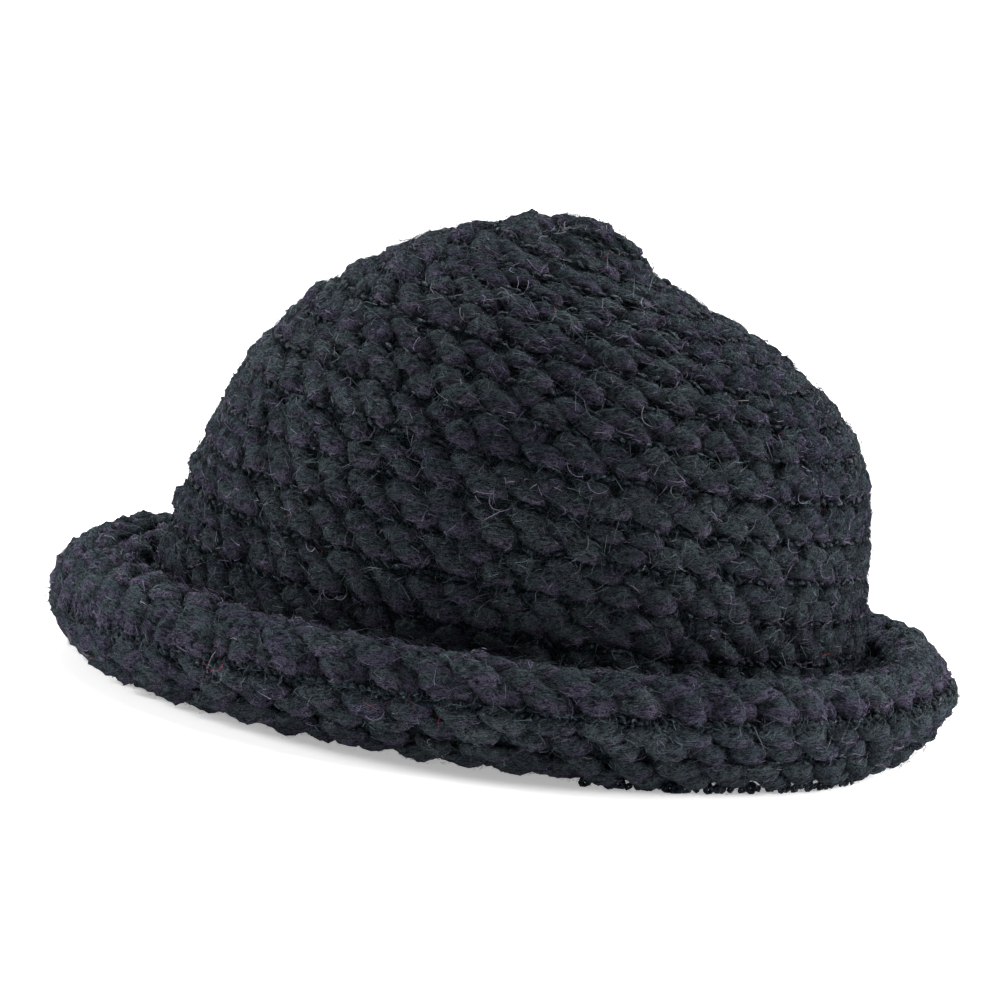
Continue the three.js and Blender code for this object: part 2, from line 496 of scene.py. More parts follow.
def face_outwards():
    """Turns all faces of the mesh outwards and leaves edit mode"""
    bpy.ops.mesh.select_all(action="SELECT")
    bpy.ops.mesh.normals_make_consistent(inside=False)
    bpy.ops.object.mode_set(mode="OBJECT")


CORE_TIP_RISE = 1.5  # how much shallower the core lies at the tip
CORE_TIP_BANDS = (3.2, 1.8)  # where that begins and where it is full
LAST_BAND = 0.3  # band at which the core and the yarn inside end, by the tip
SLOPE_STEP = 0.05  # bands over which the fabric's slope is taken


def crown_rounds(depth, step):
    """Rounds that lie the given depth under the crown's outside, from the opening to the tip"""
    bands = np.arange(CROWN_BANDS, LAST_BAND, -step)
    rows = smooth_rows(CROWN_ROUNDS, bands)
    below, above = (smooth_rows(CROWN_ROUNDS, bands + step) for step in (SLOPE_STEP, -SLOPE_STEP))
    slope = above - below
    steep = np.hypot(slope[:, 3], slope[:, 2])
    outwards, upwards = slope[:, 2] / steep, -slope[:, 3] / steep
    begin, full = CORE_TIP_BANDS
    depths = depth - CORE_TIP_RISE * np.clip((begin - bands) / (begin - full), 0, 1)
    rounds = []
    for (_, x, z, radius, tilt), sideways, lift, depth in zip(rows, outwards, upwards, depths):
        radius_in = max(radius - depth * sideways, 1.0)
        middle = (x * MM, 0.0, (z - depth * lift) * MM)
        rounds.append((middle, radius_in * MM, OVAL * radius_in * MM, math.radians(tilt)))
    return rounds


# Node trees

class Wire:
    """A socket in a sum: arithmetic on it adds Math nodes"""

    def __init__(self, dye, socket):
        self.dye = dye
        self.socket = socket

    def _with(self, operation, first, second):
        return self.dye.node("ShaderNodeMath", {"operation": operation}, {0: first, 1: second})

    def __add__(self, other):
        return self._with("ADD", self, other)

    __radd__ = __add__

    def __sub__(self, other):
        return self._with("SUBTRACT", self, other)

    def __rsub__(self, other):
        return self._with("SUBTRACT", other, self)

    def __mul__(self, other):
        return self._with("MULTIPLY", self, other)

    __rmul__ = __mul__


class Dye:
    """A material under construction"""

    def __init__(self, name):
        self.material = bpy.data.materials.new(name)
        self.material.use_nodes = True
        self.tree = self.material.node_tree
        self.tree.nodes.clear()

    def node(self, kind, settings=None, sockets=None, output=0):
        """Adds a node, sets its settings, then its sockets from values or wires"""
        made = self.tree.nodes.new(kind)
        for key, value in (settings or {}).items():
            if key == "stops":
                ramp = made.color_ramp
                while len(ramp.elements) < len(value):
                    ramp.elements.new(0.5)
                for element, (place, colour) in zip(ramp.elements, value):
                    element.position = place
                    element.color = (*colour, 1)
            else:
                setattr(made, key, value)
        for key, value in (sockets or {}).items():
            if isinstance(value, Wire):
                self.tree.links.new(value.socket, made.inputs[key])
            elif made.inputs[key].type == "RGBA":
                made.inputs[key].default_value = (*value[:3], 1)
            else:
                made.inputs[key].default_value = value
        return Wire(self, made.outputs[output])

    def mix(self, share, first, second, blend="MIX"):
        """A share of the second colour over the first"""
        return self.node(
            "ShaderNodeMix", {"data_type": "RGBA", "blend_type": blend},
            {0: share, 6: first, 7: second}, output=2)

    def stretched(self, vector, scale, shift=(0, 0, 0)):
        """The vector times a scale, then shifted"""
        return self.node(
            "ShaderNodeVectorMath", {"operation": "MULTIPLY_ADD"}, {0: vector, 1: scale, 2: shift})

    def noise(self, vector, scale, detail=3.0, roughness=0.6, distortion=0.0):
        """A soft random value between 0 and 1"""
        return self.node("ShaderNodeTexNoise", {}, {
            "Vector": vector, "Scale": scale, "Detail": detail,
            "Roughness": roughness, "Distortion": distortion})

    def hairs(self, vector, width, wander):
        """Thin curved lines where a soft noise passes its middle: 1 on a line, 0 between lines"""
        field = self.noise(vector, 1.0, detail=1.0, roughness=0.5, distortion=wander)
        off = self.node("ShaderNodeMath", {"operation": "ABSOLUTE"}, {0: field - 0.5})
        return self.between(off, width, 0.0)

    def between(self, value, low, high):
        """0 under low, 1 over high, smooth between"""
        return self.node("ShaderNodeMapRange", {"interpolation_type": "SMOOTHSTEP"}, {
            "Value": value, "From Min": low, "From Max": high})

    def finish(self, colour, bump, reach, roughness, gloss, sheen):
        """Ends the material in a rough shader with a bump in metres, a gloss and a soft cool sheen"""
        normal = self.node("ShaderNodeBump", {}, {"Height": bump, "Distance": reach, "Strength": 1.0})
        shader = self.node("ShaderNodeBsdfPrincipled", {}, {
            "Base Color": colour, "Roughness": roughness, "Normal": normal,
            "Sheen Weight": sheen, "Sheen Roughness": 0.5, "Sheen Tint": (0.6, 0.64, 0.8),
            "Specular IOR Level": gloss})
        self.node_output(shader)
        return self.material

    def node_output(self, shader):
        """Joins the shader to the material's surface"""
        output = self.tree.nodes.new("ShaderNodeOutputMaterial")
        self.tree.links.new(shader.socket, output.inputs["Surface"])


def ply_colours(dye):
    """The yarn's own places, its uneven growth, and the colour of the green or purple ply there"""
    yarn = dye.node("ShaderNodeAttribute", {"attribute_name": "yarn"}, output=1)
    tone = dye.node("ShaderNodeAttribute", {"attribute_name": "tone"}, output=2)
    place = dye.node("ShaderNodeTexCoord", output=3)
    lengthways = dye.node("ShaderNodeSeparateXYZ", {}, {0: yarn}, output=0)
    across = dye.node("ShaderNodeSeparateXYZ", {}, {0: yarn}, output=1)
    end = dye.node(
        "ShaderNodeMath", {"operation": "WRAP"}, {0: lengthways, 1: YARN_STEP / 2, 2: -YARN_STEP / 2})
    clumps = dye.noise(place, 330.0, detail=2.0, roughness=0.6, distortion=0.8)
    drift = dye.noise(place, 28.0, detail=2.0)
    side = across - end * 0.30 + (clumps - 0.5) * 5.0 + (drift - 0.5) * 4.6 + (tone - 0.5) * 2.6
    ply = dye.mix(dye.between(side, -0.8, -2.2), hat_colours().green_ply, hat_colours().purple_ply)
    heather = dye.node("ShaderNodeValToRGB", {"stops": (
        (0.0, (0.36, 0.42, 0.54)), (0.5, (0.90, 0.93, 0.96)), (1.0, (1.50, 1.46, 1.42)))},
        {0: tone * 0.5 + drift * 0.7})
    return yarn, place, clumps, dye.mix(1.0, ply, heather, blend="MULTIPLY")


def yarn_wool(name, painted_shade_gain):
    """Two-ply heathered yarn with painted shade deep between its fibres, which run along it and cross it
    as fuzz
    """
    shadow = hat_colours().shadow_wool
    dye = Dye(name)
    yarn, place, clumps, ply = ply_colours(dye)
    strands = dye.noise(dye.stretched(yarn, (0.33, 1.25, 1.25)), 1.0, detail=2.0, distortion=1.5)
    fuzz = dye.noise(place, 1150.0, detail=1.5, roughness=0.6, distortion=1.8)
    along_hairs = dye.hairs(dye.stretched(yarn, (0.35, 1.05, 1.05)), 0.080, 1.4)
    fine_hairs = dye.hairs(dye.stretched(yarn, (0.55, 1.5, 1.5), (40, 7, 3)), 0.085, 1.6)
    cross_hairs = dye.hairs(dye.stretched(place, (520, 520, 520)), 0.055, 2.0)
    fibre_gap_shade = dye.hairs(dye.stretched(yarn, (0.4, 1.2, 1.2), (11, 50, 9)), 0.10, 1.4)
    # Painted shade: the wool between the fibres and in the fine gaps between them is drawn in the
    # near-black shadow colour, and the gaps are also sunk in the bump
    colour = dye.mix(dye.between(strands * 0.55 + fuzz * 0.45, 0.46, 0.57), shadow, ply)
    colour = dye.mix(fibre_gap_shade * 0.92, colour, shadow)
    # Painted highlight, partly the fibres' own colour: the hairs on top are the ply drawn 3.3 times
    # lighter, blended with the loose fibre colour, and show where the random lit mask lets them
    highlit_ply = dye.mix(1.0, ply, (3.3, 3.3, 3.3), blend="MULTIPLY")
    highlit_hair_colour = dye.mix(0.2, highlit_ply, hat_colours().loose_fibre)
    lit = dye.between(clumps * 0.5 + strands * 0.5, 0.38, 0.54)
    for hairs, share in ((along_hairs, 0.8), (fine_hairs, 0.75), (cross_hairs, 0.85)):
        colour = dye.mix(hairs * lit * share, colour, highlit_hair_colour)
    # Painted shade: the whole copy of the yarn is drawn darker by its gain, the crown's more than the
    # brim's
    colour = dye.mix(1.0, colour, (painted_shade_gain, painted_shade_gain, painted_shade_gain), blend="MULTIPLY")
    bump = strands + fuzz * 0.8 + along_hairs * 0.3 + cross_hairs * 0.3 - fibre_gap_shade * 0.4
    return dye.finish(colour, bump, 1.0 * MM, 0.95, 0.0, 0.05)


def core_wool(name):
    """Dark matted wool under the stitches"""
    dye = Dye(name)
    place = dye.node("ShaderNodeTexCoord", output=3)
    matted = dye.noise(place, 900.0, detail=3.0, roughness=0.7, distortion=2.0)
    colour = dye.mix(dye.between(matted, 0.44, 0.60), (0.001, 0.0016, 0.0030), hat_colours().green_ply)
    return dye.finish(colour, matted, 1.2 * MM, 0.95, 0.0, 0.0)


def thread_finish(name):
    """Fine blue-black thread with small painted glints"""
    dye = Dye(name)
    place = dye.node("ShaderNodeTexCoord", output=3)
    strands = dye.noise(place, 1000.0, detail=2.0, roughness=0.6, distortion=1.0)
    colour = dye.mix(dye.between(strands, 0.46, 0.62), (0.0006, 0.0012, 0.0024), hat_colours().thread)
    # Painted glints: small specks of the thread drawn in the pale loose fibre colour
    colour = dye.mix(dye.between(strands, 0.64, 0.72) * 0.8, colour, hat_colours().loose_fibre)
    return dye.finish(colour, strands, 0.8 * MM, 0.5, 0.06, 0.0)


def fibre_finish(name):
    """Loose fibres in the colour of their ply, from black to bright; a few are pale and a few are red"""
    dye = Dye(name)
    _, _, _, ply = ply_colours(dye)
    shine = dye.node("ShaderNodeAttribute", {"attribute_name": "shine"}, output=2)
    colour = dye.mix(1.0, ply, shine * shine * shine * 4.0 + 0.22, blend="MULTIPLY")
    colour = dye.mix(dye.between(shine, 0.975, 0.997), colour, hat_colours().pale_fibre)
    is_red = dye.between(shine, 0.9988, 0.9990) - dye.between(shine, 0.9995, 0.9997)
    colour = dye.mix(is_red, colour, hat_colours().red_fibre)
    return dye.finish(colour, shine, 0.01 * MM, 0.8, 0.03, 0.0)


def material(name, make, *values):
    """The material of that name, made at its first use"""
    return bpy.data.materials.get(name) or make(name, *values)


# Pieces

CROWN_CORE_STEP = 0.25  # bands between two rounds of the crown's core
CROWN_CORE_POINTS, BRIM_CORE_POINTS = 96, 120  # points in a round
CORE_TOP_ERROR = 2 * MM  # by which the core's top may miss its place

# Number of each piece's own random draws
DRAWS = {
    "crown_upper_stitches": 0, "crown_lower_stitches": 1, "brim_stitches": 3, "inside_stitches": 5,
    "groove_thread": 9, "crown_upper_fibres": 11, "crown_lower_fibres": 12, "brim_fibres": 13,
    "chain_fibres": 14, "crown_strays": 20, "brim_strays": 20, "tip": 30}
DRAWS_STEP = 100  # between the draws of two hands


class HatOperator:
    """What the operators share"""

    bl_options = {"REGISTER", "UNDO"}

    @staticmethod
    def draws(piece):
        """Random draws of one piece, the same in each run"""
        return np.random.default_rng(hat_sizes().seed * DRAWS_STEP + DRAWS[piece])


class HAT_OT_crown_core(HatOperator, bpy.types.Operator):
    """Works the crown's firm middle round by round from the opening to the tip"""

    bl_idname = "hat.crown_core"
    bl_label = "Crown core"

    def execute(self, context):
        sizes = hat_sizes()
        rounds = crown_rounds(sizes.core_depth / MM, CROWN_CORE_STEP)
        obj = first_round(*rounds[0][:3], CROWN_CORE_POINTS)
        work_rounds(obj, rounds)
        bpy.ops.mesh.merge(type="CENTER")
        face_outwards()
        wall = obj.modifiers.new("wall", "SOLIDIFY")
        wall.thickness = sizes.core_wall
        wall.offset = -1
        bpy.ops.object.modifier_apply(modifier=wall.name)
        bpy.ops.object.shade_smooth()
        top = max(v.co.z for v in obj.data.vertices)
        if abs(top - (CROWN_ROUNDS[0, 2] * MM - sizes.core_depth)) > CORE_TOP_ERROR:
            raise RuntimeError(f"the crown's core ends at {top:.4f} m, not under the tip")
        finish_piece(obj, "crown_core", CROWN, material("matted_wool", core_wool))
        return {"FINISHED"}


class HAT_OT_brim_core(HatOperator, bpy.types.Operator):
    """Works the brim's firm middle round by round and joins its last round to its first"""

    bl_idname = "hat.brim_core"
    bl_label = "Brim core"

    def execute(self, context):
        rounds = [(
            (0.0, 0.0, z * MM), (BASE_HALF_WIDTH + out) * MM, (OVAL * BASE_HALF_WIDTH + out) * MM, 0.0)
            for out, z in BRIM_CORE]
        obj = first_round(*rounds[0][:3], BRIM_CORE_POINTS)
        work_rounds(obj, rounds)

        def on_seam(point):
            return any(
                abs(point.z - middle[2]) < ROUNDING * 0.1
                and abs(math.hypot(point.x / wide, point.y / deep) - 1) < ROUNDING
                for middle, wide, deep, _ in (rounds[0], rounds[-1]))

        pick(obj, on_seam)
        bpy.ops.mesh.bridge_edge_loops()
        face_outwards()
        bpy.ops.object.shade_smooth()
        mesh = bmesh.new()
        mesh.from_mesh(obj.data)
        is_closed = all(len(edge.link_faces) == 2 for edge in mesh.edges)
        mesh.free()
        if not is_closed:
            raise RuntimeError("the brim's core is not closed")
        finish_piece(obj, "brim_core", BRIM, material("matted_wool", core_wool))
        return {"FINISHED"}


def uneven(draws, count, spread):
    """Small uneven steps of hand work, never more than three spreads"""
    return np.clip(draws.normal(0, spread, count), -3 * spread, 3 * spread)


# Spreads of hand work in a stitch: shares of its sizes, degrees, mm over the fabric, mm along and across
UNEVEN_SIZE = (0.07, 0.10, 0.07)
UNEVEN_TILT = 7
UNEVEN_LIFT = 0.25
UNEVEN_SHIFT = (0.6, 0.38)
LONG_WITHIN, LEAST_LENGTH = 30, 0.75  # mm from the middle with full stitches, share of length further out
# Around the tip the yarn is smaller and stands up more on one side
TIP_FROM, TIP_REACH = 1.8, 1.4  # band where that begins, and bands until it is full
TIP_SHRINK = 0.28
TIP_LEAN, TIP_LEAN_BACK, TIP_RAISE = 330, -0.8, 0.1  # degrees round the hat, least lean, mm
KNOT_FROM, KNOT_REACH, KNOT_RAISE = 1.3, 0.9, 1.2  # the same for the last stitches, and mm


def uneven_sizes(draws, count, sizes, spreads):
    """Length, width and height of each stitch in millimetres"""
    return np.stack([
        size * (1 + uneven(draws, count, spread)) for size, spread in zip(sizes, spreads)], axis=1)


def stitch_row(draws, point_at, downwards, stitches, template, row, index_start):
    """One row of yarn puffs along the spiral; row gives its place in the band and its sizes"""
    bands, angles = stitches
    pitch = hat_sizes().stitch_width / MM
    count = len(bands)
    step_turn = np.gradient(angles)
    angle = angles + row.offset * step_turn
    band = bands + row.offset * step_turn / (2 * math.pi) + row.place
    frames = fabric_frame(point_at, band, angle, downwards)
    size = uneven_sizes(draws, count, (row.length, row.width, row.height), UNEVEN_SIZE)
    size[:, 0] *= np.clip(np.abs(step_turn) * LONG_WITHIN / pitch, LEAST_LENGTH, 1)
    tilt = math.radians(row.tilt) + uneven(draws, count, math.radians(UNEVEN_TILT))
    lift = row.lift + uneven(draws, count, UNEVEN_LIFT)
    if point_at is crown_point:
        near_tip = np.clip((TIP_FROM - band) / TIP_REACH, 0, 1)
        size *= 1 - TIP_SHRINK * near_tip[:, None]
        lean = np.clip(np.cos(angle - math.radians(TIP_LEAN)), TIP_LEAN_BACK, 1)
        lift += near_tip * (TIP_RAISE + lean)
        lift += KNOT_RAISE * np.clip((KNOT_FROM - band) / KNOT_REACH, 0, 1)
        lift -= left_hollow(band, angle)
    shift = np.stack([uneven(draws, count, spread) for spread in UNEVEN_SHIFT], axis=1)
    laid = lay_copies(template, frames, size, tilt, lift, shift, index_start + np.arange(count))
    return {**laid, "tone": np.repeat(draws.random(count), len(template[0]))}


# How far down the yarn of each part reaches, in millimetres
LOWEST = {CROWN: WALL + SEAT_GAP, BRIM: 0.05}


def puff_piece(name, rows, part, finish):
    """Joins rows of puffs in one piece"""
    starts = np.cumsum([0] + [len(row["points"]) for row in rows])
    faces = np.concatenate([row["faces"] + start for row, start in zip(rows, starts)])
    points = np.concatenate([row["points"] for row in rows])
    points[:, 2] = np.maximum(points[:, 2], LOWEST[part])
    keys = ("yarn", "tone", "fabric_out", "fabric_along")
    values = {key: np.concatenate([row[key] for row in rows]) for key in keys}
    return finish_piece(joined_mesh(name, points, faces, values), name, part, finish)


# Rows of yarn: place in the band, offset in stitches, length, width and height in mm, tilt in degrees,
# mm over the fabric
Row = namedtuple("Row", "place offset length width height tilt lift")
ROWS = {
    "crown_upper": Row(0.31, 0.0, 14.4, 5.7, 4.2, 10, -2.1),
    "crown_lower": Row(0.69, 0.5, 15.4, 6.7, 5.2, 15, -2.0),
    "tip": Row(0.0, 0.0, 15.0, 8.5, 6.5, 12, -2.6),
    "edge_upper": Row(0.30, 0.0, 14.0, 5.8, 4.6, 6, -4.0),
    "edge_lower": Row(0.74, 0.5, 14.0, 6.0, 4.8, 10, -3.6),
    "face_upper": Row(0.28, 0.0, 16.4, 6.2, 4.8, 8, -2.0),
    "face_lower": Row(0.69, 0.5, 17.0, 6.6, 5.2, 11, -2.0),
    "arc_under": Row(0.54, 0.60, 17.0, 8.0, 5.4, 34, -3.4),
    "arc_lower": Row(0.43, 0.30, 15.5, 8.6, 6.4, 36, -2.2),
    "arc_upper": Row(0.76, 0.0, 19.5, 7.8, 6.0, 14, -2.0),
    "roll_lower": Row(0.26, 0.5, 15.6, 6.4, 5.0, 6, -2.0),
    "roll_upper": Row(0.72, 0.0, 14.6, 6.2, 5.0, 12, -2.0),
    "gutter_lower": Row(0.15, 0.5, 14.0, 6.2, 4.0, -8, -0.6),
    "gutter_upper": Row(0.60, 0.0, 14.0, 6.2, 4.0, -8, -0.6),
}
# The brim's first and last band, mm between two stitches and rows; the kinds change at the back of the hat
BRIM_ROWS = (
    (-0.5, 0.5, 11.2, ("edge_upper", "edge_lower")),
    (0.5, 2.5, 12.2, ("face_upper", "face_lower")),
    (2.5, 3.5, 13.6, ("arc_under", "arc_lower", "arc_upper")),
    (3.5, 5.3, 12.6, ("roll_lower", "roll_upper")),
)
GUTTER_FROM, GUTTER_TO = 0.05, 2.6  # bands of the roll's inner side that carry yarn
TIP_STITCHES, TIP_BAND = 5, 0.50  # stitches of the knot at the tip, and their band
CROWN_FROM, CROWN_END = 0.05, 0.55  # band of the crown's first stitch, and bands left free at the opening
GROOVE_TURN = 0.70  # where the spiral's groove crosses the +X side of the crown, as a share of a band
BRIM_GROOVE_TURN = 0.25

# Numbers of stitches, which set their places in the yarn: first of each piece, and step between rows
FIRST_STITCH = {"crown_upper": 0, "crown_lower": 1000, "tip": 700, "brim": 3000, "inside": 8000}
ROW_NUMBERS = 500

# The plainer yarn inside the crown
INSIDE_ROWS = ((0.2, 12), (0.7, -10))  # place in the band, tilt in degrees
INSIDE_SIZE = (11.6, 5.6, 3.6)  # mm
INSIDE_UNEVEN = (0.05, 0.08, 0.08)  # shares of the sizes
INSIDE_DEPTH = WALL - 1.3  # mm under the crown's outside
INSIDE_LIFT, INSIDE_LIFT_SPREAD, INSIDE_TILT_SPREAD = -0.3, 0.2, 4  # mm, mm, degrees


def crown_spiral():
    """Bands and angles of the crown's stitches"""
    pitch = hat_sizes().stitch_width / MM
    return spiral(crown_point, CROWN_FROM, CROWN_BANDS - CROWN_END, GROOVE_TURN, pitch)


def crown_yarn():
    """The finish of the yarn on both sides of the crown, drawn darker than the brim's yarn as painted
    shade
    """
    return material("crown_yarn", yarn_wool, 0.62)


def main_puff():
    """The yarn of one stitch on the crown and the brim"""
    return model_puff(10, 8, waist=0.60, twist=math.radians(140), arch=0.12, fullness=0.5)


def low_puff(around):
    """The yarn of one stitch on the hidden sides"""
    return model_puff(around, 5, waist=0.7, twist=math.radians(100), arch=0.1, fullness=0.8)


class HAT_OT_crown_stitches(HatOperator, bpy.types.Operator):
    """Lays the crown's two rows of yarn in every band of the spiral, and the knot at the tip"""

    bl_idname = "hat.crown_stitches"
    bl_label = "Crown stitches"

    def execute(self, context):
        wool = crown_yarn()
        stitches = crown_spiral()
        knot = np.full(TIP_STITCHES, TIP_BAND), np.arange(TIP_STITCHES) * 2 * math.pi / TIP_STITCHES
        for name, kinds in (
                ("crown_upper_stitches", (("crown_upper", stitches), ("tip", knot))),
                ("crown_lower_stitches", (("crown_lower", stitches),))):
            rows = []
            for row, places in kinds:
                draws = self.draws("tip" if row == "tip" else name)
                rows.append(stitch_row(
                    draws, crown_point, 1, places, main_puff(), ROWS[row], FIRST_STITCH[row]))
            puff_piece(name, rows, CROWN, wool)
        return {"FINISHED"}


class HAT_OT_brim_stitches(HatOperator, bpy.types.Operator):
    """Lays the yarn of the brim: flat rows below, slanting arcs on the roll's face, flat rows over it"""

    bl_idname = "hat.brim_stitches"
    bl_label = "Brim stitches"

    def execute(self, context):
        # The brim's yarn is the same yarn drawn lighter than the crown's, as painted light
        wool = material("brim_yarn", yarn_wool, 0.80)
        draws = self.draws("brim_stitches")
        rows = []

        def lay(point_at, downwards, stitches, puff, kinds):
            for kind in kinds:
                first = FIRST_STITCH["brim"] + ROW_NUMBERS * len(rows)
                rows.append(stitch_row(draws, point_at, downwards, stitches, puff, ROWS[kind], first))

        puff = main_puff()
        for first, last, pitch, kinds in BRIM_ROWS:
            lay(brim_point, -1, spiral(brim_point, first, last, BRIM_GROOVE_TURN, pitch), puff, kinds)
        pitch = hat_sizes().stitch_width / MM
        stitches = spiral(gutter_point, GUTTER_FROM, GUTTER_TO, BRIM_GROOVE_TURN, pitch)
        lay(gutter_point, 1, stitches, low_puff(8), ("gutter_lower", "gutter_upper"))
        puff_piece("brim_stitches", rows, BRIM, wool)
        return {"FINISHED"}


class HAT_OT_inside_stitches(HatOperator, bpy.types.Operator):
    """Lays low yarn puffs over the inside of the crown"""

    bl_idname = "hat.inside_stitches"
    bl_label = "Inside stitches"

    def execute(self, context):
        puff = low_puff(6)

        def inside_point(band, angle):
            safe = np.maximum(band, LAST_BAND)
            _, _, _, out = fabric_frame(crown_point, safe, angle, 1)
            return crown_point(band, angle) - out * INSIDE_DEPTH

        bands, angles = crown_spiral()
        count = len(bands)
        rows = []
        for share, slant in INSIDE_ROWS:
            place, along, down, out = fabric_frame(inside_point, bands + share, angles, 1)
            draws = self.draws("inside_stitches")
            size = uneven_sizes(draws, count, INSIDE_SIZE, INSIDE_UNEVEN)
            tilt = math.radians(slant) + uneven(draws, count, math.radians(INSIDE_TILT_SPREAD))
            lift = INSIDE_LIFT + uneven(draws, count, INSIDE_LIFT_SPREAD)
            laid = lay_copies(puff, (place, -along, down, -out), size, tilt, lift,
                              np.zeros((count, 2)), FIRST_STITCH["inside"] + np.arange(count))
            rows.append({**laid, "tone": np.repeat(draws.random(count), len(puff[0]))})
        puff_piece("inside_stitches", rows, CROWN, crown_yarn())
        return {"FINISHED"}


# The thin thread: mm between two bits of it, and a bit's length, width and height in mm
THREAD_PITCH, THREAD_BIT, THREAD_TILT = 3.7, (3.3, 1.2, 1.1), 12  # in the crown's grooves, and degrees
CHAIN_PITCH, CHAIN_BIT = 2.2, (2.5, 1.3, 1.3)  # chain on the brim
CHAIN_FROM, CHAIN_TO = 2.5, 3.5  # its bands
CHAIN_SIDES = ((25, -0.75), (-25, 0.75))  # its two halves: tilt in degrees, mm down the picture
THREAD_LIFT, THREAD_SINK = -1.0, 1.6  # mm over the fabric, and how much deeper for each mm of hollow
CROWN_THREAD_FROM, CROWN_THREAD_END = 1.0, 0.6  # first band, and bands left free at the opening
# Loops of it that hang under the brim
LOOP_SIZE = (3.7, 2.9, 2.0)
LOOP_RADII = (0.52, 0.46)  # of the ring and of the thread, before it takes that size
LOOPS_BAND, LOOPS_HEIGHT = 0.95, 1.5  # band and mm over the floor
LOOPS_FROM_TO, LOOPS_STEP = (284, 334), 1.5  # degrees round the hat
# Spreads in its bits: share of the size, mm along and across, degrees, mm over the fabric
BIT_UNEVEN, BIT_SHIFT, BIT_TILT, BIT_LIFT = 0.16, (0.35, 0.25), 18, 0.3


def model_loop():
    """One upright loop of the thin thread, as it hangs at the opening's edge"""
    start_fresh()
    bpy.ops.mesh.primitive_torus_add(
        major_segments=8, minor_segments=4, major_radius=LOOP_RADII[0], minor_radius=LOOP_RADII[1])
    obj = bpy.context.object
    mark_yarn(obj)
    return template_arrays(obj)


def thread_row(draws, frames, template, size, tilt, lift, low):
    """Bits of thread at the given frames; low moves them down the picture"""
    count = len(frames[0])
    sizes = np.array(size) * (1 + uneven(draws, count, BIT_UNEVEN))[:, None]
    shift = np.stack([uneven(draws, count, spread) for spread in BIT_SHIFT], axis=1) + (0, low)
    tilts = math.radians(tilt) + uneven(draws, count, math.radians(BIT_TILT))
    lifts = lift + uneven(draws, count, BIT_LIFT)
    laid = lay_copies(template, frames, sizes, tilts, lifts, shift, np.arange(count))
    return {**laid, "tone": np.repeat(draws.random(count), len(template[0]))}


class HAT_OT_groove_thread(HatOperator, bpy.types.Operator):
    """Chains the thin dark thread along the grooves of the crown and the brim"""

    bl_idname = "hat.groove_thread"
    bl_label = "Groove thread"

    def execute(self, context):
        finish = material("dark_thread", thread_finish)
        draws = self.draws("groove_thread")
        bead = model_puff(5, 4)
        last = CROWN_BANDS - CROWN_THREAD_END
        bands, angles = spiral(crown_point, CROWN_THREAD_FROM, last, GROOVE_TURN, THREAD_PITCH)
        frames = fabric_frame(crown_point, bands, angles, 1)
        lift = THREAD_LIFT - THREAD_SINK * left_hollow(bands, angles)
        rows = [thread_row(draws, frames, bead, THREAD_BIT, THREAD_TILT, lift, 0.0)]
        puff_piece("crown_thread", rows, CROWN, finish)

        bands, angles = spiral(brim_point, CHAIN_FROM, CHAIN_TO, BRIM_GROOVE_TURN, CHAIN_PITCH)
        frames = fabric_frame(brim_point, bands, angles, -1)
        rows = [thread_row(draws, frames, bead, CHAIN_BIT, tilt, THREAD_LIFT, low)
                for tilt, low in CHAIN_SIDES]
        angles = np.radians(np.arange(*LOOPS_FROM_TO, LOOPS_STEP))
        place, along, down, _ = fabric_frame(brim_point, np.full(len(angles), LOOPS_BAND), angles, -1)
        place[:, 2] = LOOPS_HEIGHT
        down = np.tile((0.0, 0.0, -1.0), (len(place), 1))
        frames = place, along, down, np.cross(down, along)
        rows.append(thread_row(draws, frames, model_loop(), LOOP_SIZE, 0, 0.0, 0.0))
        puff_piece("brim_thread", rows, BRIM, finish)
        return {"FINISHED"}


def mesh_values(mesh, source, key):
    """One value of all points of a mesh as rows of three"""
    values = np.empty(3 * len(mesh.vertices), dtype=np.float32)
    source.foreach_get(key, values)
    return values.reshape(-1, 3)


FIBRE_STATIONS = 3  # points along a loose fibre
FACING_OUT = 0.05  # how much a point of the yarn must face outwards to carry fibres
LENGTH_SPREAD, SHORTEST, LONGEST = 0.5, 0.35, 3.0  # of fibres, against the usual length
FIBRE_CURL = 1.1  # usual turn along a fibre, in radians
FIBRE_ARCH = (0.02, 0.14)  # height of its arch, as a share of its length
FIBRE_END = (-0.08, 0.17)  # usual height of its end and the spread of that, as shares of its length
FREE_SHARE, FREE_END = 0.02, 0.3  # share of fibres whose ends stand free, and how much higher they are
ROOT_SPREAD, ROOT_DEPTH = 0.5, 0.05  # mm
SHORT_UNDER, LEAST_SHARE = 9.0, 0.2  # mm over the floor under which fibres get shorter, and to what share
LOWEST_FIBRE = 0.1  # mm over the floor


